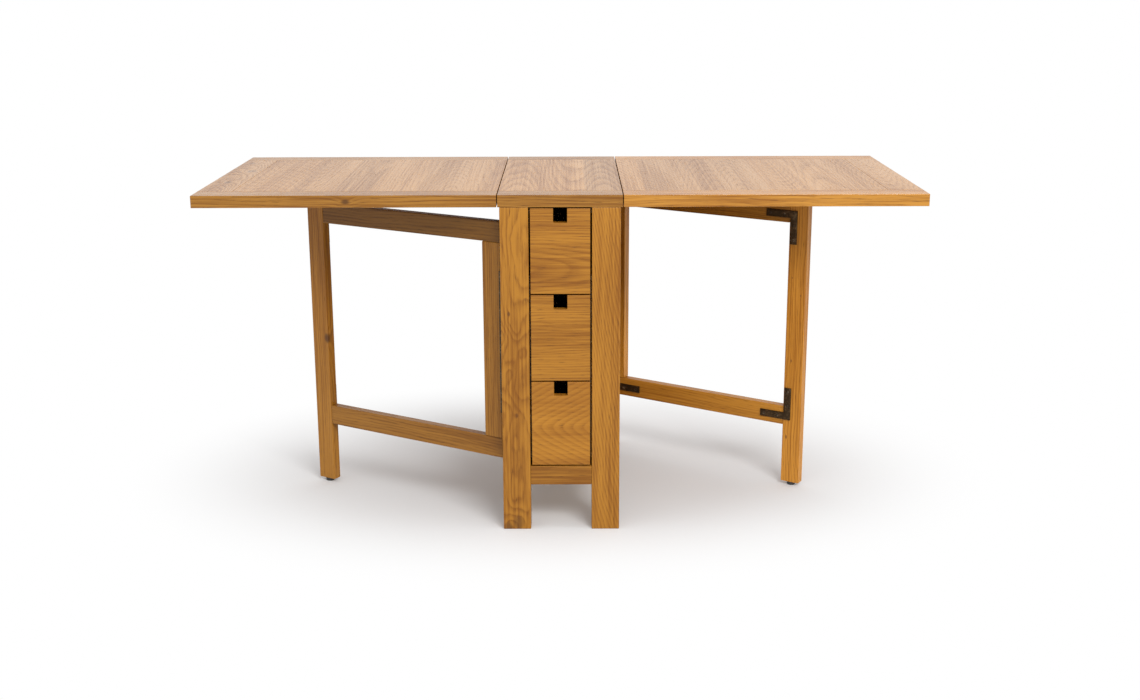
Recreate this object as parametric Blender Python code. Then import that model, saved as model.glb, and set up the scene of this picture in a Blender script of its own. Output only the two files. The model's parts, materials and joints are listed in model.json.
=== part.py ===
"""Oak drop leaf table with two swinging gates and a narrow column of three drawers.

Metres, +Z up. The origin is on the floor under the middle of the table: X runs across the
leaves, the drawers open towards -Y. Both leaves are up and both gates are swung out under them.
"""

import math

import bmesh
import bpy
from mathutils import Matrix, Vector

# Whole table
WIDTH = 1.556  # with both leaves up
DEPTH = 0.636
HEIGHT = 0.750
TOP_THICK = 0.026
CENTRE_WIDTH = 0.265  # fixed strip of the top between the leaves
SEAM = 0.002  # air between the fixed strip and a leaf
BAND = 0.060  # cross boards along the front and back of each part of the top
END_BOARD = 0.075  # board at the outer end of a leaf
AIR = 0.0003  # air between pieces that touch

# Column under the fixed strip
COLUMN_WIDTH = 0.257
COLUMN_FACE = 0.3175  # from the middle out to the front and back faces of the legs
LEG_WIDTH = 0.061
LEG_DEPTH = 0.045
RAIL_BOTTOM = 0.105
RAIL_TOP = 0.148
RAIL_THICK = 0.020
SIDE_PANEL_FACE = 0.100  # from the middle out to the outer face of a side panel
PANEL_THICK = 0.015
BACK_THICK = 0.012
BOTTOM_BOARD_Z = 0.118
BOTTOM_BOARD_THICK = 0.012
CLEAT = 0.020  # square battens that carry the fixed strip

# Drawers, counted from the bottom
DRAWERS = ("bottom", "middle", "top")
DRAWER_PITCH = 0.193
DRAWER_GAP = 0.003
DRAWER_SIDE_GAP = 0.0038
FIRST_GAP_Z = 0.1495  # middle of the gap over the bottom rail
FRONT_THICK = 0.018
NOTCH_WIDTH = 0.030
NOTCH_DEEP = 0.031
BOX_HALF_WIDTH = 0.0625
BOX_LENGTH = 0.520
BOX_WALL = 0.010
BOX_LIFT = 0.012  # bottom of the box above the bottom of its front
BOX_HEIGHT = 0.130
BOX_FLOOR = 0.004
RUNNER_THICK = 0.010
RUNNER_REACH = 0.030
GUIDE_HEIGHT = 0.018
UPRIGHT = 0.030  # strips that tie the runners of one side together

# Gates, in their own frame: X along the gate from its hinge, Y out of the folded column
HINGE_X = 0.1314
HINGE_Y = 0.2710
GATE_OPEN_DEG = {"left": 58.7, "right": 56.2}  # from folded against the column
GATE_THICK = 0.022
GATE_FACE = COLUMN_WIDTH / 2 - HINGE_X  # outer face of the gate, flush with the column
GATE_END = 0.0018  # end of the rails next to the hinge
MEMBER = 0.046
GATE_REACH = 0.5185  # hinge to the middle of the outer leg
LOWER_RAIL_Z = 0.150
UPPER_RAIL_Z = 0.639
GLIDE_RADIUS = 0.010
GLIDE_HEIGHT = 0.008
BRACKET_ARM = 0.079
BRACKET_WIDTH = 0.0175
BRACKET_THICK = 0.0025
BRACKET_INSET = 0.015  # from the end of the rail to a bracket by the hinge
BRACKET_LAP = 0.020  # over the outer leg
UPPER_BRACKET_Z = UPPER_RAIL_Z + 0.029
LOWER_BRACKET_Z = LOWER_RAIL_Z + 0.0135
BRACKET_SCREWS = (0.034, 0.069)  # along each arm from the outer corner

# Continuous hinges, one along each leaf and one up each gate
LEAF_HINGE_LENGTH = 0.420
LEAF_HINGE_REACH = 0.028
LEAF_HINGE_RADIUS = 0.0038
LEAF_PLATE = 0.0016
LEAF_KNUCKLES = 9
GATE_HINGE_Z = 0.4175  # middle of its length
GATE_HINGE_LENGTH = 0.320
GATE_HINGE_REACH = 0.021
GATE_HINGE_RADIUS = 0.0026
GATE_PLATE = 0.0011
GATE_KNUCKLES = 7
PIN_RADIUS = 0.0012
PIN_SIDES = 12
SCREW_HOLE = 0.0017

UNDERSIDE = HEIGHT - TOP_THICK
LEG_TOP = UNDERSIDE - AIR
LEAF_AXIS_X = CENTRE_WIDTH / 2 + SEAM / 2
LEAF_AXIS_Z = UNDERSIDE - AIR - LEAF_HINGE_RADIUS
INNER_LEG_FACE = COLUMN_WIDTH / 2 - LEG_WIDTH
LEG_BACK = COLUMN_FACE - LEG_DEPTH
RAIL_END = INNER_LEG_FACE - AIR
BAY = LEG_BACK - AIR  # half the clear length between front and back legs
INSIDE = SIDE_PANEL_FACE - PANEL_THICK - AIR
X, Y, Z = Vector((1, 0, 0)), Vector((0, 1, 0)), Vector((0, 0, 1))
SIDES = {"left": -1, "right": 1}
ENDS = {"front": -1, "back": 1}


def columns(first, second, third):
    return Matrix((first, second, third)).transposed().to_4x4()


FACING_FRONT = columns(X, Z, -Y)  # stands a flat drawing upright, its Z towards -Y


# ---- Materials, objects and plain solids


def make_material(name, colour, roughness, metallic=0.0):
    made = bpy.data.materials.new(name)
    made.use_nodes = True
    shader = made.node_tree.nodes["Principled BSDF"]
    shader.inputs["Base Color"].default_value = (*colour, 1)
    shader.inputs["Roughness"].default_value = roughness
    shader.inputs["Metallic"].default_value = metallic
    made.diffuse_color = (*colour, 1)
    return made


def finish_for(name):
    """A material of the node's own, by what the piece is made of."""
    if "glide" in name:
        return make_material(name, (0.02, 0.02, 0.02), 0.5)
    if "bracket" in name:
        return make_material(name, (0.10, 0.07, 0.05), 0.45, 0.8)
    if "hinge" in name:
        return make_material(name, (0.12, 0.09, 0.06), 0.4, 0.9)
    if name.startswith(("top", "leaf")):
        return make_material(name, (0.60, 0.38, 0.20), 0.4)
    if name.startswith("gate"):
        return make_material(name, (0.42, 0.23, 0.07), 0.45)
    return make_material(name, (0.50, 0.28, 0.09), 0.45)


def add_object(name, shape, pivot=None, helper=False, crease=None):
    """Makes an object of a bmesh. With a pivot, the mesh is drawn in the pivot's frame."""
    bmesh.ops.recalc_face_normals(shape, faces=shape.faces)
    mesh = bpy.data.meshes.new(name)
    shape.to_mesh(mesh)
    shape.free()
    made = bpy.data.objects.new(name, mesh)
    bpy.context.scene.collection.objects.link(made)
    made.parent = pivot
    if helper:
        made.hide_render = True
        made.display_type = "WIRE"
        return made
    mesh.materials.append(finish_for(name))
    if crease:
        mesh.shade_smooth()
        mesh.set_sharp_from_angle(angle=math.radians(crease))
    return made


def add_pivot(name, location, turn=0.0):
    pivot = bpy.data.objects.new(name, None)
    bpy.context.scene.collection.objects.link(pivot)
    pivot.location = location
    pivot.rotation_euler.z = turn
    return pivot


def span(first, second):
    return (first, second) if first < second else (second, first)


def box_of(xs, ys, zs):
    """Low and high corners of a box from the two ends of each side, in either order."""
    return tuple(zip(span(*xs), span(*ys), span(*zs)))


def add_box(shape, low, high):
    size = [b - a for a, b in zip(low, high)]
    middle = [(a + b) / 2 for a, b in zip(low, high)]
    place = Matrix.Translation(middle) @ Matrix.Diagonal((*size, 1))
    bmesh.ops.create_cube(shape, size=1, matrix=place)


def add_prism(shape, outline, low, high, place):
    """Raises a flat outline of (x, y) points from z = low to z = high, then places it."""
    lower = [shape.verts.new(place @ Vector((x, y, low))) for x, y in outline]
    upper = [shape.verts.new(place @ Vector((x, y, high))) for x, y in outline]
    shape.faces.new(lower)
    shape.faces.new(upper)
    for k in range(len(outline)):
        shape.faces.new((lower[k - 1], lower[k], upper[k], upper[k - 1]))


def add_turned(shape, profile, place, sides):
    """Turns (radius, z) points about Z into a closed solid with flat ends, then places it."""
    rings = []
    for radius, z in profile:
        turns = [math.tau * k / sides for k in range(sides)]
        points = [Vector((radius * math.cos(t), radius * math.sin(t), z)) for t in turns]
        rings.append([shape.verts.new(place @ p) for p in points])
    shape.faces.new(rings[0])
    shape.faces.new(rings[-1])
    for lower, upper in zip(rings, rings[1:]):
        for k in range(sides):
            shape.faces.new((lower[k - 1], lower[k], upper[k], upper[k - 1]))


def ease_board(board, ease):
    bevel = board.modifiers.new("eased", "BEVEL")
    bevel.width = ease
    bevel.segments = 2
    return board


def add_board(name, low, high, pivot=None, ease=None):
    """A wooden board between two world corners. Those that show have eased arrises."""
    shape = bmesh.new()
    add_box(shape, low, high)
    if pivot:
        bmesh.ops.translate(shape, verts=shape.verts, vec=-pivot.location)
    board = add_object(name, shape, pivot, crease=35 if ease else None)
    return ease_board(board, ease) if ease else board


def combine(target, operation, other):
    boolean = target.modifiers.new(operation.lower(), "BOOLEAN")
    boolean.operation = operation
    boolean.solver = "EXACT"
    boolean.object = other


# ---- Hinge halves, drawn with Z along the pin and the plate towards +X


def add_hinge_half(name, place, size, plate, knuckles, pinned, pivot=None):
    """A plate with every second knuckle of a hinge. The half that stays put holds the pin."""
    length, reach, radius = size
    low, high = plate
    start, stop = math.asin(high / radius), math.tau + math.asin(low / radius)
    steps = 12
    arc = [start + (stop - start) * k / steps for k in range(steps + 1)]
    outline = [(reach, low), (reach, high)]
    outline += [(radius * math.cos(a), radius * math.sin(a)) for a in arc]
    knuckle = length / knuckles
    square = radius + AIR
    corners = [(-square, -square), (square, -square), (square, square), (-square, square)]
    half, notches, round_bar = bmesh.new(), bmesh.new(), bmesh.new()
    add_prism(half, outline, -length / 2, length / 2, place)
    for k in range(1 if pinned else 0, knuckles, 2):
        notch_low = k * knuckle - length / 2 - AIR / 2
        add_prism(notches, corners, notch_low, notch_low + knuckle + AIR, place)
    made = add_object(name, half, pivot, crease=35)
    combine(made, "DIFFERENCE", add_object(name + "_notches", notches, pivot, helper=True))
    if pinned:
        bar, ends = PIN_RADIUS, length / 2 - 0.001
    else:
        bar, ends = PIN_RADIUS + AIR, length / 2 + 0.001
    add_turned(round_bar, [(bar, -ends), (bar, ends)], place, PIN_SIDES)
    bar_object = add_object(name + "_pin", round_bar, pivot, helper=True)
    combine(made, "UNION" if pinned else "DIFFERENCE", bar_object)
    return made


# ---- The top: a fixed strip and two leaves, each a field of boards between cross bands


def build_top_part(prefix, x_low, x_high, end=0, pivot=None):
    """One part of the top. end is -1 or 1 where a leaf has a board at its outer end."""
    half = DEPTH / 2
    inner = half - BAND - AIR
    field = [x_low, x_high]
    tall = (UNDERSIDE, HEIGHT)
    if end:
        outer = x_low if end < 0 else x_high
        board = box_of((outer, outer - end * END_BOARD), (-inner, inner), tall)
        add_board(f"{prefix}_end_board", *board, pivot, ease=0.0008)
        field[end > 0] = outer - end * (END_BOARD + AIR)
    for name, towards in ENDS.items():
        ys = (towards * half, towards * (half - BAND))
        band = box_of((x_low, x_high), ys, tall)
        add_board(f"{prefix}_{name}_band", *band, pivot, ease=0.0008)
    panel = box_of(field, (-inner, inner), tall)
    add_board(f"{prefix}_panel", *panel, pivot, ease=0.0008)


LEAF_HINGE_SIZE = (LEAF_HINGE_LENGTH, LEAF_HINGE_REACH, LEAF_HINGE_RADIUS)
LEAF_PLATE_SPAN = (LEAF_HINGE_RADIUS - LEAF_PLATE, LEAF_HINGE_RADIUS)


def lying_along_y(sign):
    """A hinge's frame with its plate towards sign along X and its upper face up."""
    return columns(sign * X, Z, sign * X.cross(Z))


def build_leaf(side):
    """A leaf with the moving half of its hinge. The half screwed to the strip stays put."""
    sign = SIDES[side]
    axis = Vector((sign * LEAF_AXIS_X, 0, LEAF_AXIS_Z))
    pivot = add_pivot(f"leaf_{side}_pivot", axis)
    xs = span(sign * (CENTRE_WIDTH / 2 + SEAM), sign * WIDTH / 2)
    build_top_part(f"leaf_{side}", *xs, sign, pivot)
    kinds = (LEAF_HINGE_SIZE, LEAF_PLATE_SPAN, LEAF_KNUCKLES)
    add_hinge_half(f"leaf_{side}_hinge_leaf_half", lying_along_y(sign), *kinds, False, pivot)
    place = Matrix.Translation(axis) @ lying_along_y(-sign)
    add_hinge_half(f"leaf_{side}_hinge_top_half", place, *kinds, True)


# ---- The column: legs, rails, panels, bottom board, cleats under the top, drawer runners


def build_legs():
    for end, towards in ENDS.items():
        for side, sign in SIDES.items():
            xs = (sign * COLUMN_WIDTH / 2, sign * INNER_LEG_FACE)
            ys = (towards * COLUMN_FACE, towards * LEG_BACK)
            add_board(f"leg_{end}_{side}", *box_of(xs, ys, (0, LEG_TOP)), ease=0.0015)


def build_column_panels():
    back = COLUMN_FACE - RAIL_THICK
    across = (-RAIL_END, RAIL_END)
    for end, towards in ENDS.items():
        box = box_of(across, (towards * COLUMN_FACE, towards * back), (RAIL_BOTTOM, RAIL_TOP))
        add_board(f"bottom_rail_{end}", *box, ease=0.0008)
    panel = box_of(across, (back, back + BACK_THICK), (RAIL_TOP + AIR, LEG_TOP))
    add_board("back_panel", *panel, ease=0.0008)
    for side, sign in SIDES.items():
        xs = (sign * SIDE_PANEL_FACE, sign * (SIDE_PANEL_FACE - PANEL_THICK))
        add_board(f"side_panel_{side}", *box_of(xs, (-BAY, BAY), (RAIL_BOTTOM, LEG_TOP)))


def build_bottom_board():
    """Fits between the side panels and, notched at its corners, between the legs."""
    full = COLUMN_FACE - RAIL_THICK - AIR
    quarter = [(INSIDE, BAY), (RAIL_END, BAY), (RAIL_END, full)]
    outline = quarter + [(-x, y) for x, y in reversed(quarter)]
    outline += [(-x, -y) for x, y in quarter] + [(x, -y) for x, y in reversed(quarter)]
    shape = bmesh.new()
    add_prism(shape, outline, 0, BOTTOM_BOARD_THICK, Matrix.Translation((0, 0, BOTTOM_BOARD_Z)))
    add_object("bottom_board", shape)


def build_cleats():
    """Battens along the tops of the side panels that carry the fixed strip."""
    for side, sign in SIDES.items():
        xs = (sign * INSIDE, sign * (INSIDE - CLEAT))
        add_board(f"top_cleat_{side}", *box_of(xs, (-BAY, BAY), (LEG_TOP - CLEAT, LEG_TOP)))


def drawer_heights(number):
    """Bottom and top of a drawer front. The top one is cut short under the table top."""
    low = FIRST_GAP_Z + number * DRAWER_PITCH + DRAWER_GAP / 2
    return low, min(low + DRAWER_PITCH - DRAWER_GAP, UNDERSIDE - 0.0025)


def build_runner_frame(side):
    """Three runners of an L section, a shelf and a guide, tied by two upright strips."""
    sign = SIDES[side]
    guide = BOX_HALF_WIDTH + 0.0007
    shelves = [drawer_heights(n)[0] + BOX_LIFT - AIR for n in range(len(DRAWERS))]
    runners, uprights = bmesh.new(), bmesh.new()
    for shelf in shelves:
        outline = [
            (INSIDE, shelf - RUNNER_THICK),
            (INSIDE, shelf + GUIDE_HEIGHT),
            (guide, shelf + GUIDE_HEIGHT),
            (guide, shelf),
            (INSIDE - RUNNER_REACH, shelf),
            (INSIDE - RUNNER_REACH, shelf - RUNNER_THICK),
        ]
        outline = [(sign * x, z) for x, z in outline]
        add_prism(runners, outline, -BAY, BAY, FACING_FRONT)
    xs = (sign * (INSIDE - 0.001), sign * (guide + 0.001))
    zs = (shelves[0] - RUNNER_THICK / 2, shelves[-1] + GUIDE_HEIGHT / 2)
    for towards in ENDS.values():
        ys = (towards * (BAY - 0.002), towards * (BAY - 0.002 - UPRIGHT))
        add_box(uprights, *box_of(xs, ys, zs))
    frame = add_object(f"runner_frame_{side}", runners)
    tie = add_object(f"runner_frame_{side}_uprights", uprights, helper=True)
    combine(frame, "UNION", tie)


# ---- The drawers, each sliding along Y on a pivot at the foot of its front


def cut_notch(front, label, top, pivot):
    """The finger notch open at the top of a drawer front, with rounded lower corners."""
    half, low, soft = NOTCH_WIDTH / 2, top - NOTCH_DEEP, 0.0025
    corner = []
    for turn in (0, 30, 60, 90):
        away = math.radians(turn)
        x = half - soft + soft * math.sin(away)
        corner.append((x, low + soft - soft * math.cos(away)))
    outline = corner + [(half, top + NOTCH_DEEP), (-half, top + NOTCH_DEEP)]
    outline += [(-x, z) for x, z in reversed(corner)]
    shape = bmesh.new()
    near, far = COLUMN_FACE - 2 * FRONT_THICK, COLUMN_FACE + FRONT_THICK
    add_prism(shape, outline, near, far, FACING_FRONT)
    bmesh.ops.translate(shape, verts=shape.verts, vec=-pivot.location)
    notch = add_object(f"drawer_{label}_notch", shape, pivot, helper=True)
    combine(front, "DIFFERENCE", notch)


def build_drawer(number, label):
    low, high = drawer_heights(number)
    face = -COLUMN_FACE
    pivot = add_pivot(f"drawer_{label}_pivot", (0, face, low))
    half = INNER_LEG_FACE - DRAWER_SIDE_GAP
    box = box_of((-half, half), (face, face + FRONT_THICK), (low, high))
    front = add_board(f"drawer_{label}_front", *box, pivot, ease=0.0008)
    cut_notch(front, label, high, pivot)

    wide, inner = BOX_HALF_WIDTH, BOX_HALF_WIDTH - BOX_WALL
    near, far = face + FRONT_THICK + AIR, face + FRONT_THICK + BOX_LENGTH
    right = [(wide, far), (wide, near), (inner, near), (inner, far - BOX_WALL)]
    shape = bmesh.new()
    outline = right + [(-x, y) for x, y in reversed(right)]
    sill = low + BOX_LIFT
    add_prism(shape, outline, sill, sill + BOX_HEIGHT, Matrix.Identity(4))
    bmesh.ops.translate(shape, verts=shape.verts, vec=-pivot.location)
    add_object(f"drawer_{label}_box", shape, pivot)
    ys = (near, far - BOX_WALL - AIR)
    floor = box_of((AIR - inner, inner - AIR), ys, (sill + BOX_FLOOR, sill + 2 * BOX_FLOOR))
    add_board(f"drawer_{label}_bottom", *floor, pivot)


# ---- The gates: outer leg, inner post, two rails, corner brackets, hinges and a glide


def build_gate_frame(side, pivot):
    """The four wooden members, all flush. The rails run past the post and butt the leg."""
    leg = (GATE_REACH - MEMBER / 2, GATE_REACH + MEMBER / 2)
    rail = (GATE_END, leg[0] - AIR)
    post = (GATE_END, GATE_END + MEMBER)
    sheets = {
        "outer_leg": (leg, (GLIDE_HEIGHT, LEG_TOP)),
        "inner_post": (post, (LOWER_RAIL_Z + MEMBER + AIR, UPPER_RAIL_Z - AIR)),
        "upper_rail": (rail, (UPPER_RAIL_Z, UPPER_RAIL_Z + MEMBER)),
        "lower_rail": (rail, (LOWER_RAIL_Z, LOWER_RAIL_Z + MEMBER)),
    }
    for name, (xs, zs) in sheets.items():
        shape = bmesh.new()
        add_box(shape, *box_of(xs, (GATE_FACE - GATE_THICK, GATE_FACE), zs))
        ease_board(add_object(f"gate_{side}_{name}", shape, pivot, crease=35), 0.0015)


def add_bracket(name, corner, along, up, pivot):
    """A flat steel corner brace on the inner face. along and up are the signs of its arms."""
    arm, wide, soft = BRACKET_ARM, BRACKET_WIDTH, 0.003
    half = [(soft, 0), (arm - soft, 0), (arm, soft), (arm, wide - soft), (arm - soft, wide)]
    half.append((wide + soft, wide))
    outline = half + [(v, u) for u, v in reversed(half)]
    outline = [(corner[0] + along * u, corner[1] + up * v) for u, v in outline]
    near = GATE_THICK - GATE_FACE + AIR
    shape, holes = bmesh.new(), bmesh.new()
    add_prism(shape, outline, near, near + BRACKET_THICK, FACING_FRONT)
    spots = [(u, wide / 2) for u in BRACKET_SCREWS] + [(wide / 2, v) for v in BRACKET_SCREWS]
    hole = [(SCREW_HOLE, near - BRACKET_THICK), (SCREW_HOLE, near + 2 * BRACKET_THICK)]
    for u, v in spots:
        spot = Vector((corner[0] + along * u, 0, corner[1] + up * v))
        add_turned(holes, hole, Matrix.Translation(spot) @ FACING_FRONT, 8)
    bracket = add_object(name, shape, pivot)
    combine(bracket, "DIFFERENCE", add_object(name + "_holes", holes, pivot, helper=True))


def build_brackets(side, pivot):
    """Four braces, one on each corner of the gate's frame."""
    outer = GATE_REACH - MEMBER / 2 + BRACKET_LAP
    inner = GATE_END + BRACKET_INSET
    for end, x, along in (("outer", outer, -1), ("inner", inner, 1)):
        for level, z, up in (("upper", UPPER_BRACKET_Z, -1), ("lower", LOWER_BRACKET_Z, 1)):
            add_bracket(f"gate_{side}_bracket_{level}_{end}", (x, z), along, up, pivot)


def build_glide(side, pivot):
    """A turned plastic foot under the outer leg."""
    shape = bmesh.new()
    radius, height = GLIDE_RADIUS, GLIDE_HEIGHT - AIR
    profile = [(radius * 0.86, 0), (radius, height * 0.25), (radius, height)]
    under = Matrix.Translation((GATE_REACH, GATE_FACE - GATE_THICK / 2, 0))
    add_turned(shape, profile, under, 24)
    add_object(f"gate_{side}_glide", shape, pivot, crease=40)


GATE_HINGE_SIZE = (GATE_HINGE_LENGTH, GATE_HINGE_REACH, GATE_HINGE_RADIUS)


def build_gate(side):
    """A gate with its half of the hinge, and the half on the inner face of a column leg."""
    sign = SIDES[side]
    folded = -sign * math.pi / 2
    axis = Vector((sign * HINGE_X, sign * HINGE_Y, 0))
    pivot = add_pivot(f"gate_{side}_pivot", axis, folded + math.radians(GATE_OPEN_DEG[side]))
    build_gate_frame(side, pivot)
    build_brackets(side, pivot)
    build_glide(side, pivot)
    upright = Matrix.Translation((0, 0, GATE_HINGE_Z)) @ columns(-Y, X, Z)
    plate = (GATE_END - AIR - GATE_PLATE, GATE_END - AIR)
    name = f"gate_{side}_hinge_gate_half"
    add_hinge_half(name, upright, GATE_HINGE_SIZE, plate, GATE_KNUCKLES, False, pivot)
    surface = HINGE_Y - LEG_BACK + AIR
    plate = (surface, surface + GATE_PLATE)
    place = Matrix.Translation(axis) @ Matrix.Rotation(folded, 4, "Z") @ upright
    name = f"gate_{side}_hinge_leg_half"
    add_hinge_half(name, place, GATE_HINGE_SIZE, plate, GATE_KNUCKLES, True)


for leftover in list(bpy.data.objects):
    bpy.data.objects.remove(leftover)

build_top_part("top_centre", -CENTRE_WIDTH / 2, CENTRE_WIDTH / 2)
build_legs()
build_column_panels()
build_bottom_board()
build_cleats()
for drawer_number, drawer_label in enumerate(DRAWERS):
    build_drawer(drawer_number, drawer_label)
for each_side in SIDES:
    build_runner_frame(each_side)
    build_leaf(each_side)
    build_gate(each_side)
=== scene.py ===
import json
import math
import random

import bpy
from mathutils import Matrix, Vector


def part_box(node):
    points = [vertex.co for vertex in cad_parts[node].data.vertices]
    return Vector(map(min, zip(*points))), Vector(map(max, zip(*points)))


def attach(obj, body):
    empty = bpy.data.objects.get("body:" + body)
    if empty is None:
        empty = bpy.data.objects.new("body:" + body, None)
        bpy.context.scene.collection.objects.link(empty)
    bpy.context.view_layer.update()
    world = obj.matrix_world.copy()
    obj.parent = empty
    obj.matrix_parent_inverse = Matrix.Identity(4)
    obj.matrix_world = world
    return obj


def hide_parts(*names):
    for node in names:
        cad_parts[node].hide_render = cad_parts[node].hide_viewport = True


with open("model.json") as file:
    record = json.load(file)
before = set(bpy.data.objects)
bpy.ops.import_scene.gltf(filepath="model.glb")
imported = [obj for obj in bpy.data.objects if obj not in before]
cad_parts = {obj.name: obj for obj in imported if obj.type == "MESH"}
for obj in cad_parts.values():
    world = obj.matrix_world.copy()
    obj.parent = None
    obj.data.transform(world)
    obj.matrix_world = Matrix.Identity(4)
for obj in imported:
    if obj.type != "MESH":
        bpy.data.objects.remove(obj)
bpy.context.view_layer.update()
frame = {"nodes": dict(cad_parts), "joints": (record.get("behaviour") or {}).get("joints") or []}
node = frame["nodes"]

# Camera: it stands in front of the drawers and square to them, a little under half a metre
# above the table top, and looks down at the column through a slightly long lens.
EYE = (0.0206, -3.3668, 1.2182)
AIMED_ASIDE, AIMED_DOWN, ROLLED = 0.008, 14.793, -0.160
LENS, FILM_WIDTH = 46.105, 36
bpy.ops.object.select_all(action="DESELECT")
bpy.ops.object.camera_add(location=EYE)
camera = bpy.context.object
camera.name = "camera"
camera.rotation_euler = (
    Matrix.Rotation(math.radians(AIMED_ASIDE), 3, "Z")
    @ Matrix.Rotation(math.radians(90 - AIMED_DOWN), 3, "X")
    @ Matrix.Rotation(math.radians(ROLLED), 3, "Z")
).to_euler()
camera.data.lens = LENS
camera.data.sensor_width = FILM_WIDTH
camera.data.sensor_fit = "HORIZONTAL"
camera.data.clip_end = 60
bpy.context.scene.camera = camera


# Fixed strip of the top: three oak boards glued edge to edge along the table's depth, with a
# cross board along the front and along the back. Solid oak under a clear satin lacquer.
class Wire:
    """A socket of a material's nodes that takes part in sums, and adds the nodes they need."""

    def __init__(self, socket):
        self.socket = socket
        self.tree = socket.id_data

    def add(self, kind, settings, values, output=0):
        made = self.tree.nodes.new(kind)
        for name, value in settings.items():
            if name == "stops":
                ramp = made.color_ramp.elements
                while len(ramp) < len(value):
                    ramp.new(1.0)
                for stop, (place, colour) in zip(ramp, value):
                    stop.position = place
                    stop.color = colour
            elif name == "blend":
                made.color_ramp.interpolation = value
            else:
                setattr(made, name, value)
        for name, value in values.items():
            if isinstance(value, Wire):
                self.tree.links.new(value.socket, made.inputs[name])
            else:
                made.inputs[name].default_value = value
        return Wire(made.outputs[output])

    def sum(self, operation, *others):
        values = dict(enumerate((self, *others)))
        return self.add("ShaderNodeMath", {"operation": operation}, values)

    def __add__(self, other):
        return self.sum("ADD", other)

    __radd__ = __add__

    def __mul__(self, other):
        return self.sum("MULTIPLY", other)

    __rmul__ = __mul__

    def __sub__(self, other):
        return self.sum("SUBTRACT", other)

    def __rsub__(self, other):
        return self.add("ShaderNodeMath", {"operation": "SUBTRACT"}, {0: other, 1: self})

    def __truediv__(self, other):
        return self.sum("DIVIDE", other)

    def __pow__(self, other):
        return self.sum("POWER", other)

    def between(self, low, high):
        """0 below low, 1 above high, and an even rise from one to the other."""
        settings = {"interpolation_type": "SMOOTHSTEP"}
        return self.add("ShaderNodeMapRange", settings, {0: self, 1: low, 2: high, 3: 0.0, 4: 1.0})

    def axes(self):
        """The three parts of a place or of a colour."""
        parts = self.add("ShaderNodeSeparateXYZ", {}, {0: self}).socket.node
        return [Wire(output) for output in parts.outputs]

    def stretched(self, along, across, deep=None):
        settings = {"operation": "MULTIPLY"}
        size = (along, across, across if deep is None else deep)
        return self.add("ShaderNodeVectorMath", settings, {0: self, 1: size})

    def noise(self, detail=2.0, rough=0.5):
        settings = {"noise_dimensions": "3D"}
        values = {"Vector": self, "Scale": 1.0, "Detail": detail, "Roughness": rough}
        return self.add("ShaderNodeTexNoise", settings, values)

    def blend(self, first, second):
        """The first colour where this is 0 and the second where it is 1."""
        first, second = (c if isinstance(c, Wire) else (*c, 1) for c in (first, second))
        settings = {"data_type": "RGBA", "clamp_factor": True}
        return self.add("ShaderNodeMix", settings, {0: self, 6: first, 7: second}, 2)

    def shade(self, factor):
        return self.add("ShaderNodeVectorMath", {"operation": "SCALE"}, {0: self, 3: factor})


def fresh(name):
    """A new material, its Principled shader, and its object coordinates."""
    material = bpy.data.materials.new(name)
    material.use_nodes = True
    shader = material.node_tree.nodes["Principled BSDF"]
    return material, shader, Wire(shader.outputs[0]).add("ShaderNodeTexCoord", {}, {}, "Object")


def plug(shader, name, wire):
    shader.id_data.links.new(wire.socket, shader.inputs[name])


SIDEWAYS, DEPTHWAYS, UPWARDS, LEFTWARDS = (1, 0, 0), (0, 1, 0), (0, 0, 1), (-1, 0, 0)
HONEY = (0.365, 0.155, 0.016)
AMBER = (0.19, 0.064, 0.004)
KNOT_BROWN = (0.075, 0.028, 0.008)
# how pale the wood is through one year's ring, from its open pores to its dense late wood
YEAR = [(0, 0.3), (0.08, 0.0), (0.22, 0.35), (0.55, 0.85), (0.8, 1.0), (0.94, 0.75), (1.0, 0.3)]
WIDEST_PANEL, LONGEST_SHIFT = 0.8, 9
# metres that the rings wander off a true circle: slow bends, quick ripples, uneven years
BEND, RIPPLE, UNEVEN = 0.03, 0.0035, 0.0055
CLOUDY = 1.25
PORE_DARK, PORE_STRENGTH = 0.42, 0.75
GRAIN_BUMP, GRAIN_DEPTH = 0.35, 0.00025


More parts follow.
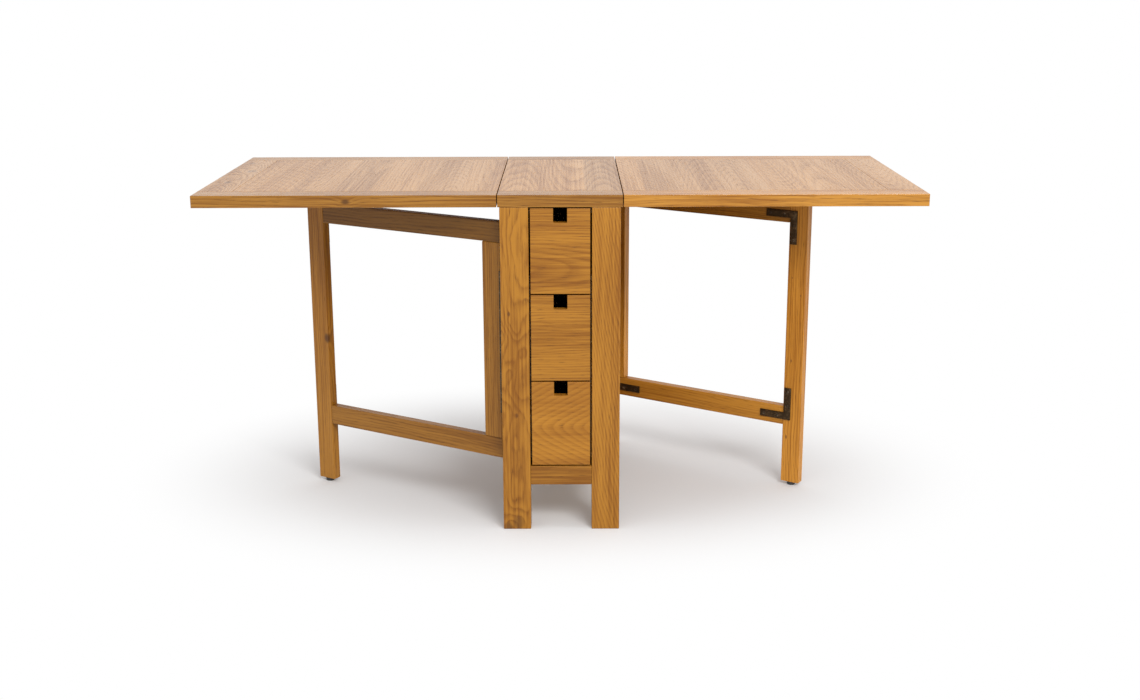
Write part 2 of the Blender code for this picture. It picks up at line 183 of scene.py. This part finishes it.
def oak(
    piece, along, across, grain, light=HONEY, dark=AMBER, knots=(), wave=1.0,
    ring=0.0055, taper=0.0, length=1.0, vein=1.0, streak=2.0, rough=0.44,
):
    """Oak grown in rings about a pith that runs near the board, cut through by its faces.

    along and across are the board's directions. grain holds a row for each board glued side by
    side: where it starts across the piece, a shift along the log, the pith's place across and
    behind the middle, how fast the pith leans, and the board's tone. Knots are (place, radius,
    darkness). taper opens the arches along the board, length draws the figure out, vein is
    how strongly the rings show and streak how strongly the fibres do.
    """
    low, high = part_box(piece)
    centre = (low + high) / 2
    along, across = Vector(along).normalized(), Vector(across).normalized()
    turn = Matrix((along, across, along.cross(across))).transposed()
    material, shader, here = fresh(piece)
    settings = {"vector_type": "TEXTURE"}
    values = {"Vector": here, "Location": centre, "Rotation": turn.to_euler()}
    here = here.add("ShaderNodeMapping", settings, values)
    x, y, z = here.axes()
    if len(grain) == 1:
        _, shift, pith_across, pith_behind, lean, tone = grain[0]
        move = (shift, 0, 0)
    else:
        # rows of the boards' numbers, each squeezed to lie between 0 and 1
        first, second = [], []
        for start, shift, pith_across, pith_behind, lean, tone in grain:
            place = max(0.0, start / WIDEST_PANEL + 0.5)
            log = (shift / LONGEST_SHIFT, pith_across + 0.5, pith_behind + 0.5, 1)
            first.append((place, log))
            second.append((place, (lean + 0.5, tone / 2, 0, 1)))
        spread = y / WIDEST_PANEL + 0.5
        settings = {"blend": "CONSTANT", "stops": first}
        log = spread.add("ShaderNodeValToRGB", settings, {0: spread})
        shift, pith_across, pith_behind = log.axes()
        settings = {"blend": "CONSTANT", "stops": second}
        lean, tone, _ = spread.add("ShaderNodeValToRGB", settings, {0: spread}).axes()
        pith_across, pith_behind = pith_across - 0.5, pith_behind - 0.5
        lean, tone = lean - 0.5, tone * 2
        move = shift.add("ShaderNodeCombineXYZ", {}, {0: shift * LONGEST_SHIFT})
    slid = here.add("ShaderNodeVectorMath", {"operation": "ADD"}, {0: here, 1: move})
    off_side = y - pith_across
    off_deep = z - pith_behind + x * lean
    drift = slid.stretched(2.4 / length, 8).noise(2.5) - 0.5
    wobble = slid.stretched(12 / length, 42).noise(2.0) - 0.5
    reach = (off_side * off_side + off_deep * off_deep) ** 0.5 - x * taper
    reach = reach + drift * (BEND * wave) + wobble * (RIPPLE * wave)
    eye = None
    for place, radius, darkness in knots:
        spot = turn.transposed() @ (Vector(place) - centre)
        away = here.add("ShaderNodeVectorMath", {"operation": "SUBTRACT"}, {0: here, 1: spot})
        away = away.stretched(0.62 / radius, 1 / radius)
        away = away.add("ShaderNodeVectorMath", {"operation": "LENGTH"}, {0: away}, 1)
        reach = reach + (away * away * -0.35).sum("EXPONENT") * (radius * 0.9)
        dark_eye = (1 - (away + wobble * 0.8).between(0.35, 1.1)) * darkness
        eye = dark_eye if eye is None else eye.sum("MAXIMUM", dark_eye)
    years = reach.add("ShaderNodeCombineXYZ", {}, {0: reach * 75, 1: x * 1.5})
    reach = reach + (years.noise(1.0) - 0.5) * UNEVEN
    ringed = (reach / ring).sum("FRACT")
    settings = {"stops": [(place, (v, v, v, 1)) for place, v in YEAR]}
    late = ringed.add("ShaderNodeValToRGB", settings, {0: ringed}).axes()[0]
    fibre = slid.stretched(5 / length, 230).noise(4.0, 0.66)
    cloud = slid.stretched(1.8 / length, 13).noise(2.0)
    fleck = slid.stretched(42, 980).noise(1.0).between(0.56, 0.70)
    worth = late * (0.06 + cloud * 0.42) * vein + (fibre - 0.5) * streak
    worth = worth + (cloud - 0.5) * CLOUDY + (0.57 - 0.17 * vein)
    colour = worth.between(0.0, 1.0).blend(dark, light)
    pores = fleck * (1 - late) * PORE_STRENGTH
    colour = pores.blend(colour, tuple(c * PORE_DARK for c in dark))
    if eye is not None:
        colour = (eye * 0.9).blend(colour, KNOT_BROWN)
    colour = colour.shade(tone)
    plug(shader, "Base Color", colour)
    plug(shader, "Roughness", rough - worth * 0.1 + fleck * 0.12)
    height = late * 0.35 - fleck * 0.8 + fibre * 0.3
    values = {"Strength": GRAIN_BUMP, "Distance": GRAIN_DEPTH, "Height": height}
    plug(shader, "Normal", height.add("ShaderNodeBump", {}, values))
    shader.inputs["Specular IOR Level"].default_value = 0.25
    return material


def clothe(piece, material):
    """Gives a carried-over solid its finish."""
    for k in range(len(node[piece].data.materials)):
        node[piece].material_slots[k].material = material
    if not node[piece].data.materials:
        node[piece].data.materials.append(material)


def single(seed, pith_across=0.0, pith_behind=0.06, lean=0.0, tone=1.0):
    """The numbers of a piece that is one board."""
    return [(0, random.Random(seed).uniform(0.5, 8.5), pith_across, pith_behind, lean, tone)]


TOP_HONEY = (0.365, 0.166, 0.026)
TOP_AMBER = (0.20, 0.073, 0.008)
# the cross boards show stronger fibres than the boards between them, all under one lacquer
FIELD = {"light": TOP_HONEY, "dark": TOP_AMBER, "rough": 0.3}
BAND = {**FIELD, "streak": 2.6}
boards = [
    (-0.4, 1.3, -0.09, -0.055, 0.05, 0.86),
    (-0.055, 4.1, -0.045, -0.10, -0.04, 1.05),
    (0.050, 6.2, 0.09, -0.06, 0.04, 1.02),
]
name = "top_centre_panel"
clothe(name, oak(name, DEPTHWAYS, LEFTWARDS, boards, length=3.0, vein=1.3, **FIELD))
for end, seed in (("front", 11), ("back", 12)):
    name = f"top_centre_{end}_band"
    rows = single(seed, 0.03, -0.09, 0.02, 0.83)
    clothe(name, oak(name, SIDEWAYS, DEPTHWAYS, rows, **BAND))

# Leaves: a field of boards along the table's depth, glued between two cross boards and closed
# at the outer end by one more board. The left end board is full of knots and swirls.
BAND_TONE = {"left": 0.87, "right": 1.17}
END_BOARD = {
    "left": {
        "grain": single(31, 0.0, -0.03, 0.1, 0.98), "wave": 2.4, "vein": 2.2,
        "knots": [
            ((-0.742, -0.12, 0.75), 0.012, 0.5),
            ((-0.725, 0.06, 0.75), 0.014, 0.5),
            ((-0.755, 0.2, 0.75), 0.01, 0.4),
        ],
    },
    "right": {
        "grain": single(32, 0.01, -0.04, -0.1, 1.0), "wave": 1.6, "vein": 1.0,
        "knots": [((0.74, 0.1, 0.75), 0.006, 0.5)],
    },
}
FRONT_EDGE_KNOT = ((-0.4517, -0.316, 0.737), 0.008, 0.9)
for side, sign in (("left", -1), ("right", 1)):
    draw = random.Random(40 + sign)
    name = f"leaf_{side}_panel"
    boards, start = [], -0.3
    while start < 0.29:
        middle = start + 0.045
        boards.append(
            (
                start,
                draw.uniform(0.5, 8.5),
                middle + draw.uniform(-0.06, 0.06),
                -draw.uniform(0.02, 0.11),
                draw.uniform(-0.16, 0.16),
                draw.uniform(0.93, 1.06),
            )
        )
        start += draw.uniform(0.075, 0.1)
    clothe(name, oak(name, DEPTHWAYS, LEFTWARDS, boards, length=3.0, vein=0.8, **FIELD))
    for end, seed in (("front", 21), ("back", 22)):
        name = f"leaf_{side}_{end}_band"
        knots = [FRONT_EDGE_KNOT] if name == "leaf_left_front_band" else []
        rows = single(seed + sign, 0.05, -0.06, 0.012, BAND_TONE[side])
        clothe(name, oak(name, SIDEWAYS, DEPTHWAYS, rows, knots=knots, **BAND))
    name = f"leaf_{side}_end_board"
    clothe(name, oak(name, DEPTHWAYS, LEFTWARDS, length=1.5, **END_BOARD[side], **FIELD))

# Column legs: four oak posts, their outer faces flush with the rails and the folded gates. The
# front left one is cut from swirling wood with small knots, the front right one is straight.
clothe(
    "leg_front_left",
    oak(
        "leg_front_left", UPWARDS, SIDEWAYS, single(51, 0.012, 0.05, 0.03, 0.97),
        knots=[
            ((-0.1115, -0.3175, 0.493), 0.0035, 0.8),
            ((-0.0755, -0.3175, 0.524), 0.0022, 0.5),
            ((-0.085, -0.3175, 0.41), 0.012, 0.0),
            ((-0.12, -0.3175, 0.44), 0.010, 0.0),
            ((-0.108, -0.3175, 0.36), 0.010, 0.1),
            ((-0.0965, -0.3175, 0.265), 0.004, 0.55),
            ((-0.094, -0.3175, 0.014), 0.015, 0.6),
            ((-0.117, -0.3175, 0.003), 0.010, 0.7),
        ],
        wave=2.3,
        vein=1.35,
    ),
)
clothe(
    "leg_front_right",
    oak(
        "leg_front_right", UPWARDS, SIDEWAYS, single(52, 0.09, 0.05, 0.02, 1.0),
        wave=0.8, taper=0.16, vein=1.15,
    ),
)
for side in ("left", "right"):
    name = f"leg_back_{side}"
    rows = single(name, 0.02, -0.05, 0.02, 0.97)
    knots = [((0.11, 0.3175, 0.3), 0.004, 0.8)] if side == "right" else ()
    clothe(name, oak(name, UPWARDS, SIDEWAYS, rows, knots=knots))

# Bottom rails, side panels and back of the column: oak boards between the legs, the panels set
# back to leave room for the folded gates.
for end in ("front", "back"):
    name = f"bottom_rail_{end}"
    side_of_table = -1 if end == "front" else 1
    rows = single(name, 0.05, 0.07 * side_of_table, 0.02, 0.86)
    clothe(name, oak(name, SIDEWAYS, UPWARDS, rows))
for name in ("side_panel_left", "side_panel_right"):
    draw = random.Random(name)
    boards = [
        (
            start,
            draw.uniform(0.5, 8.5),
            start + draw.uniform(0.0, 0.1),
            draw.uniform(0.03, 0.1),
            draw.uniform(-0.1, 0.1),
            draw.uniform(0.9, 1.0),
        )
        for start in (-0.4, -0.19, -0.1, 0.01, 0.1, 0.19)
    ]
    clothe(name, oak(name, UPWARDS, DEPTHWAYS, boards))
boards = [(-0.4, 2.2, -0.03, 0.05, 0.06, 0.95), (0.012, 5.5, 0.05, 0.06, -0.05, 0.98)]
clothe("back_panel", oak("back_panel", UPWARDS, SIDEWAYS, boards))

# Inside of the column: a pale ply bottom board, square cleats screwed up into the top, and
# drawer runners glued to the side panels. All are birch, sanded and left bare.
BARE = {"light": (0.66, 0.46, 0.25), "dark": (0.50, 0.31, 0.14), "wave": 0.7}
for name, along, across in (
    ("bottom_board", DEPTHWAYS, SIDEWAYS),
    ("top_cleat_left", DEPTHWAYS, UPWARDS),
    ("top_cleat_right", DEPTHWAYS, UPWARDS),
    ("runner_frame_left", DEPTHWAYS, UPWARDS),
    ("runner_frame_right", DEPTHWAYS, UPWARDS),
):
    rows = single(name, 0.1, 0.2, 0.01, 1.0)
    clothe(name, oak(name, along, across, rows, **BARE))

# Drawers: an oak front with a square finger notch, on a birch box with a thin ply bottom. The
# grain of each front lies level. The lowest front shows pointed arches.
fronts = {
    "top": (single(61, -0.045, -0.05, 0.05, 0.98), 0.9, 0.0),
    "middle": (single(65, -0.16, -0.06, -0.02, 0.97), 1.2, 0.0),
    "bottom": ([(0, 3.3, -0.008, -0.006, -0.03, 1.08)], 0.8, 0.5),
}
ARCHED = {"ring": 0.012, "vein": 0.8, "streak": 0.7}
for label, (rows, wave, taper) in fronts.items():
    name = f"drawer_{label}_front"
    figure = ARCHED if taper else {}
    clothe(name, oak(name, SIDEWAYS, UPWARDS, rows, wave=wave, taper=taper, **figure))
    name = f"drawer_{label}_box"
    clothe(name, oak(name, DEPTHWAYS, UPWARDS, single(name, 0.2, 0.1), **BARE))
    name = f"drawer_{label}_bottom"
    clothe(name, oak(name, DEPTHWAYS, SIDEWAYS, single(name, 0.1, 0.1), **BARE))

# Gates: an outer leg and an inner post joined by two rails, all oak and flush. The left one is
# hinged behind the front leg and the right one before the back leg, so each gate's wood is
# drawn in the gate's own directions.
GATE_HONEY = (0.34, 0.146, 0.018)
GATE_AMBER = (0.175, 0.06, 0.004)
# the middle of the outer leg's foot, along the gate from its hinge and square to it
FOOT_REACH, FOOT_ASIDE = 0.5185, -0.0139
GATE_TONE = {"left": 0.98, "right": 1.55}
# painted shade: each gate's upper rail is drawn darker for the shade that the leaf above casts on
# it
UPPER_RAIL_PAINTED_SHADE = {"left": 0.56, "right": 0.68}
gates = {}
for side, joint in (("left", "gate_left_hinge"), ("right", "gate_right_hinge")):
    axis = next(j["pos_m"] for j in frame["joints"] if j["name"] == joint)
    low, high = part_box(f"gate_{side}_glide")
    foot = (low + high) / 2
    away = Vector((foot.x - axis[0], foot.y - axis[1], 0))
    # the glide sits under the middle of the leg, so its offset from the hinge gives the turn
    turn = math.atan2(away.y, away.x) - math.atan2(FOOT_ASIDE, FOOT_REACH)
    gates[side] = Matrix.Translation((axis[0], axis[1], 0)) @ Matrix.Rotation(turn, 4, "Z")
for side, placed in gates.items():
    lengthwise = placed.to_3x3() @ Vector((1, 0, 0))
    tone = GATE_TONE[side]
    pieces = {
        "outer_leg": (UPWARDS, lengthwise, 0.06, tone * 1.05),
        "inner_post": (UPWARDS, lengthwise, -0.06, tone),
        # the upper rail's factor paints the leaf's shade onto its wood
        "upper_rail": (lengthwise, UPWARDS, 0.05, tone * UPPER_RAIL_PAINTED_SHADE[side]),
        "lower_rail": (lengthwise, UPWARDS, -0.05, tone * 0.88),
    }
    for part, (along, across, aside, shade) in pieces.items():
        name = f"gate_{side}_{part}"
        rows = single(name, aside, 0.04, 0.02, shade)
        knots = []
        if name == "gate_left_outer_leg":
            knots = [(placed @ Vector((0.4985, -0.0035, 0.362)), 0.009, 1.0)]
        if name == "gate_right_outer_leg":
            knots = [
                (placed @ Vector((0.53, -0.0249, 0.47)), 0.0022, 0.8),
                (placed @ Vector((0.508, -0.0249, 0.51)), 0.002, 0.8),
                (placed @ Vector((0.512, -0.0249, 0.31)), 0.0028, 0.8),
                (placed @ Vector((0.506, -0.0249, 0.12)), 0.0035, 0.8),
            ]
        clothe(name, oak(name, along, across, rows, GATE_HONEY, GATE_AMBER, knots, 1.3))

# Corner brackets: flat steel braces with an antique bronze finish, let onto the inner face of
# each gate and held by countersunk screws.
def bronze(name, base=(0.05, 0.03, 0.014), worn=(0.17, 0.105, 0.05)):
    """Bronzed steel, mottled all over and rubbed paler in patches."""
    material, shader, here = fresh(name)
    mottle = here.stretched(60, 60).noise(4.0, 0.6)
    rub = here.stretched(240, 240).noise(3.0, 0.6)
    wear = (mottle * 0.6 + rub * 0.4).between(0.46, 0.66)
    plug(shader, "Base Color", (wear * 0.55).blend(base, worn))
    plug(shader, "Roughness", 0.5 - wear * 0.14)
    shader.inputs["Metallic"].default_value = 0.85
    grit = here.stretched(900, 900).noise(2.0)
    values = {"Strength": 0.2, "Distance": 0.0002, "Height": grit}
    plug(shader, "Normal", grit.add("ShaderNodeBump", {}, values))
    return material


def alone(piece=None):
    """Selects nothing, or one piece and nothing else."""
    bpy.ops.object.select_all(action="DESELECT")
    if piece:
        piece.select_set(True)
        bpy.context.view_layer.objects.active = piece


def settle(piece, crease=40):
    """Puts a finished piece's place into its mesh and shades it."""
    alone(piece)
    bpy.ops.object.transform_apply(location=True, rotation=True, scale=True)
    bpy.ops.object.shade_smooth_by_angle(angle=math.radians(crease))


def apply_all(piece):
    alone(piece)
    for modifier in list(piece.modifiers):
        bpy.ops.object.modifier_apply(modifier=modifier.name)


def cut(piece, cutter):
    """Takes the cutter's shape out of a piece, and puts the cutter away."""
    taken = piece.modifiers.new("cut", "BOOLEAN")
    taken.operation, taken.solver, taken.object = "DIFFERENCE", "EXACT", cutter
    apply_all(piece)
    bpy.data.objects.remove(cutter)


brace_bronze = bronze("bracket_bronze")
ARM, WIDE, THICK = 0.079, 0.0175, 0.0025
HOLES = [(h, WIDE / 2) for h in (0.034, 0.069)] + [(WIDE / 2, h) for h in (0.034, 0.069)]
EASED = 0.0006
# a face looks a given way when its normal leans at least this far along it
FACING = 0.9

# one brace, lying flat with its outer corner at the origin and its arms along +X and +Y
alone()
bpy.ops.mesh.primitive_cube_add(
    size=1, location=(WIDE / 2, WIDE / 2, THICK / 2), scale=(WIDE, WIDE, THICK)
)
brace = bpy.context.object
bpy.ops.object.transform_apply(location=True, rotation=True, scale=True)
for direction in (Vector((1, 0, 0)), Vector((0, 1, 0))):
    for face in brace.data.polygons:
        other = face.center.x + face.center.y - face.center.dot(direction)
        face.select = face.normal.dot(direction) > FACING and other < WIDE
    for edge in brace.data.edges:
        edge.select = False
    for vertex in brace.data.vertices:
        vertex.select = False
    for face in brace.data.polygons:
        if face.select:
            for index in face.vertices:
                brace.data.vertices[index].select = True
    bpy.ops.object.mode_set(mode="EDIT")
    bpy.ops.mesh.select_mode(type="FACE")
    bpy.ops.mesh.extrude_region_move(TRANSFORM_OT_translate={"value": direction * (ARM - WIDE)})
    bpy.ops.object.mode_set(mode="OBJECT")
corners = brace.modifiers.new("corners", "BEVEL")
corners.width, corners.segments, corners.limit_method = EASED, 2, "ANGLE"
apply_all(brace)
for u, v in HOLES:
    alone()
    bpy.ops.mesh.primitive_cone_add(
        vertices=32, radius1=0.0012, radius2=0.0042, depth=0.003, location=(u, v, THICK - 0.0014)
    )
    cut(brace, bpy.context.object)

# one screw: a countersunk head with a cross recess, its face at z = 0
HEAD_RADIUS, HEAD_DEPTH = 0.0036, 0.0024
SLOT_LENGTH, SLOT_WIDTH, SLOT_DEPTH = 0.0036, 0.0007, 0.0016
alone()
bpy.ops.mesh.primitive_cone_add(
    vertices=32, radius1=0.0011, radius2=HEAD_RADIUS, depth=HEAD_DEPTH,
    location=(0, 0, -HEAD_DEPTH / 2),
)
screw = bpy.context.object
bpy.ops.object.transform_apply(location=True, rotation=True, scale=True)
bpy.ops.object.mode_set(mode="EDIT")
bpy.ops.mesh.select_all(action="DESELECT")
bpy.ops.object.mode_set(mode="OBJECT")
for face in screw.data.polygons:
    face.select = face.normal.z > FACING
bpy.ops.object.mode_set(mode="EDIT")
bpy.ops.mesh.select_mode(type="FACE")
bpy.ops.mesh.inset(thickness=0.0006)
bpy.ops.transform.translate(value=(0, 0, 0.0003))
bpy.ops.mesh.inset(thickness=0.0012)
bpy.ops.transform.translate(value=(0, 0, 0.0002))
bpy.ops.object.mode_set(mode="OBJECT")
for quarter in (0, 90):
    alone()
    bpy.ops.mesh.primitive_cube_add(
        size=1, location=(0, 0, 0.0002), rotation=(0, 0, math.radians(quarter)),
        scale=(SLOT_LENGTH, SLOT_WIDTH, SLOT_DEPTH),
    )
    cut(screw, bpy.context.object)


def copied(original, name, place, turned_over=False):
    """A copy of a finished shape with its own mesh, moved to its place."""
    piece = original.copy()
    piece.data = original.data.copy()
    piece.name = name
    bpy.context.scene.collection.objects.link(piece)
    piece.matrix_world = Matrix.Identity(4)
    piece.data.transform(place)
    if turned_over:
        piece.data.flip_normals()
    return piece


def put_screws(name, spots, body):
    """One piece of screws, each with its head's face at a spot's z = 0, turned by hand."""
    draw = random.Random(name)
    heads = []
    for spot in spots:
        spin = Matrix.Rotation(draw.uniform(0, math.pi), 4, "Z")
        heads.append(copied(screw, "head", spot @ spin, spot.determinant() < 0))
    alone()
    for head in heads:
        head.select_set(True)
    bpy.context.view_layer.objects.active = heads[0]
    bpy.ops.object.join()
    heads[0].name = name
    settle(heads[0])
    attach(heads[0], body)


def facing(spot, direction):
    """Where a screw goes whose head is at a spot and looks in a direction."""
    turn = Vector(direction).to_track_quat("Z", "Y").to_matrix().to_4x4()
    return Matrix.Translation(spot) @ turn


brace.data.materials.append(brace_bronze)
screw.data.materials.append(bronze("screw_bronze", (0.06, 0.04, 0.025), (0.34, 0.26, 0.17)))
# on a gate: its inner face, the braces' corners at each rail, and how far the heads are sunk
INNER_FACE = -0.0249 - 0.0003
LEVELS = (("upper", 0.668, -1), ("lower", 0.1635, 1))
ENDS = (("outer", 0.4955 + 0.020, -1), ("inner", 0.0018 + 0.015, 1))
SUNK = 0.0003
for side, placed in gates.items():
    heads = []
    turn = placed.to_3x3()
    for level, z, up in LEVELS:
        for end, u, along in ENDS:
            corner = placed @ Vector((u, INNER_FACE, z))
            first_arm, second_arm = turn @ Vector((along, 0, 0)), Vector((0, 0, up))
            arms = Matrix((first_arm, second_arm, turn @ Vector((0, -1, 0))))
            place = Matrix.Translation(corner) @ arms.transposed().to_4x4()
            name = f"gate_{side}_bracket_{level}_{end}"
            made = copied(brace, name + "_brace", place, arms.determinant() < 0)
            settle(made)
            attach(made, f"gate_{side}")
            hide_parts(name)
            for hole in HOLES:
                heads.append(place @ Matrix.Translation((*hole, THICK - SUNK)))
    put_screws(f"gate_{side}_bracket_screws", heads, f"gate_{side}")

# Continuous hinges under the leaves and up the gates: folded steel strip with the same bronze,
# sunk-head screws along each plate. The leaf hinges lie under the boards, each gate hinge
# between the inward face of a column leg and the gate's inner post.
LEAF_PLATE_FACE = 0.7224
LEAF_PLATES = (("top", 0.1185), ("leaf", 0.1485))
ALONG_LEAF = (-0.19, -0.135, -0.08, -0.027, 0.027, 0.08, 0.135, 0.19)
UP_GATE = (0.28, 0.345, 0.4175, 0.49, 0.555)
# each plate's middle is this far from the pin, and the leg plate's face this far back
PLATE_MIDDLE, LEG_PLATE_FACE = 0.0125, 0.2715
for name in sorted(node):
    if "_hinge_" in name:
        clothe(name, bronze(name, (0.07, 0.046, 0.026), (0.2, 0.14, 0.08)))
for side, sign in (("left", -1), ("right", 1)):
    for half, u in LEAF_PLATES:
        body = "frame" if half == "top" else f"leaf_{side}"
        spots = [facing((sign * u, v, LEAF_PLATE_FACE), (0, 0, -1)) for v in ALONG_LEAF]
        put_screws(f"leaf_{side}_hinge_{half}_screws", spots, body)
    placed = gates[side]
    axis = placed.translation
    out = placed.to_3x3() @ Vector((-1, 0, 0))
    spots = [facing(placed @ Vector((0.0008, -PLATE_MIDDLE, w)), out) for w in UP_GATE]
    put_screws(f"gate_{side}_hinge_gate_screws", spots, f"gate_{side}")
    inwards = -1 if axis.y > 0 else 1
    u, v = axis.x - sign * PLATE_MIDDLE, inwards * -LEG_PLATE_FACE
    spots = [facing((u, v, w), (0, inwards, 0)) for w in UP_GATE]
    put_screws(f"gate_{side}_hinge_leg_screws", spots, "frame")

# Cleat screws: three steel screws up through each batten hold the fixed strip of the top
# down on the column. Their heads lie just under the batten's face.
ALONG_CLEAT = (-0.19, 0.0, 0.19)
for side in ("left", "right"):
    low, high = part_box(f"top_cleat_{side}")
    u, w = (low.x + high.x) / 2, low.z + 0.0002
    spots = [facing((u, v, w), (0, 0, -1)) for v in ALONG_CLEAT]
    put_screws(f"top_cleat_{side}_screws", spots, "frame")

# Glides: a round button of black nylon under the foot of each gate's outer leg, with a rounded rim
# so that it slides over the floor.
GLIDE_RADIUS, GLIDE_RIM = 0.0099, 0.002
material, shader, here = fresh("black_nylon")
speck = here.stretched(700, 700).noise(3.0)
plug(shader, "Base Color", speck.blend((0.012, 0.012, 0.013), (0.03, 0.03, 0.03)))
plug(shader, "Roughness", 0.42 + speck * 0.2)
values = {"Strength": 0.15, "Distance": 0.0002, "Height": speck}
plug(shader, "Normal", speck.add("ShaderNodeBump", {}, values))
for side in gates:
    low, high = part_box(f"gate_{side}_glide")
    middle = (low + high) / 2
    alone()
    bpy.ops.mesh.primitive_cylinder_add(
        vertices=48, radius=GLIDE_RADIUS, depth=high.z, location=(middle.x, middle.y, high.z / 2)
    )
    button = bpy.context.object
    button.name = f"gate_{side}_glide_button"
    rim = button.modifiers.new("rim", "BEVEL")
    rim.width, rim.segments, rim.limit_method = GLIDE_RIM, 4, "ANGLE"
    apply_all(button)
    settle(button)
    button.data.materials.append(material)
    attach(button, f"gate_{side}")
    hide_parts(f"gate_{side}_glide")

# the shapes that the braces and screws were copied from
bpy.data.objects.remove(brace)
bpy.data.objects.remove(screw)

# Floor and light: a pale floor that fades to shining white away from the table, a painted glow
# that leaves painted shade round the table; white walls all round, a wide soft light overhead and
# a stronger one in front, to the right.
FLOOR_PALE, FLOOR_DARK = (0.65, 0.65, 0.655), (0.635, 0.635, 0.64)
# painted shade: the floor's painted glow rises from this middle out to the outer distance, so the
# floor is drawn darker about the table
PAINTED_SHADE_MIDDLE, PAINTED_SHADE_INNER, PAINTED_SHADE_OUTER = (0, 0.1, 0), 0.45, 1.1
alone()
bpy.ops.mesh.primitive_plane_add(size=60, location=(0, 0, 0))
floor = bpy.context.object
floor.name = "floor"
material, shader, here = fresh("studio_floor")
haze = here.stretched(3, 3).noise(2.0)
plug(shader, "Base Color", haze.blend(FLOOR_DARK, FLOOR_PALE))
shader.inputs["Roughness"].default_value = 0.9
shader.inputs["Specular IOR Level"].default_value = 0.2
# painted shade and painted glow: far from the middle the floor emits white, near it the floor is
# left darker
middle = here.add("ShaderNodeVectorMath", {"operation": "SUBTRACT"}, {0: here, 1: PAINTED_SHADE_MIDDLE})
middle = middle.stretched(1.0, 1.4)
painted_glow_mask = middle.add("ShaderNodeVectorMath", {"operation": "LENGTH"}, {0: middle}, 1)
painted_glow_mask = painted_glow_mask.between(PAINTED_SHADE_INNER, PAINTED_SHADE_OUTER)
painted_glow = here.add("ShaderNodeEmission", {}, {"Color": (1, 1, 1, 1), "Strength": 1.0})
mixed = here.add("ShaderNodeMixShader", {}, {0: painted_glow_mask, 1: Wire(shader.outputs[0]), 2: painted_glow})
plug(material.node_tree.nodes["Material Output"], "Surface", mixed)
floor.data.materials.append(material)

world = bpy.data.worlds.new("studio")
bpy.context.scene.world = world
world.use_nodes = True
walls = world.node_tree.nodes["Background"]
walls.inputs["Color"].default_value = (1, 1, 1, 1)
walls.inputs["Strength"].default_value = 1.0


def soft_light(name, place, towards, size, power):
    """A soft box of a size in metres and a power in watts."""
    light = bpy.data.lights.new(name, "AREA")
    light.shape, light.size, light.size_y, light.energy = "RECTANGLE", size[0], size[1], power
    lamp = bpy.data.objects.new(name, light)
    bpy.context.scene.collection.objects.link(lamp)
    lamp.location = place
    lamp.rotation_euler = (Vector(towards) - Vector(place)).to_track_quat("-Z", "Y").to_euler()


soft_light("overhead", (0.2, 0.1, 2.9), (0, 0, 0), (2.2, 1.8), 26)
soft_light("front", (1.3, -3.3, 2.8), (0, 0, 0.3), (1.8, 1.2), 124)
bpy.context.scene.view_settings.view_transform = "Standard"
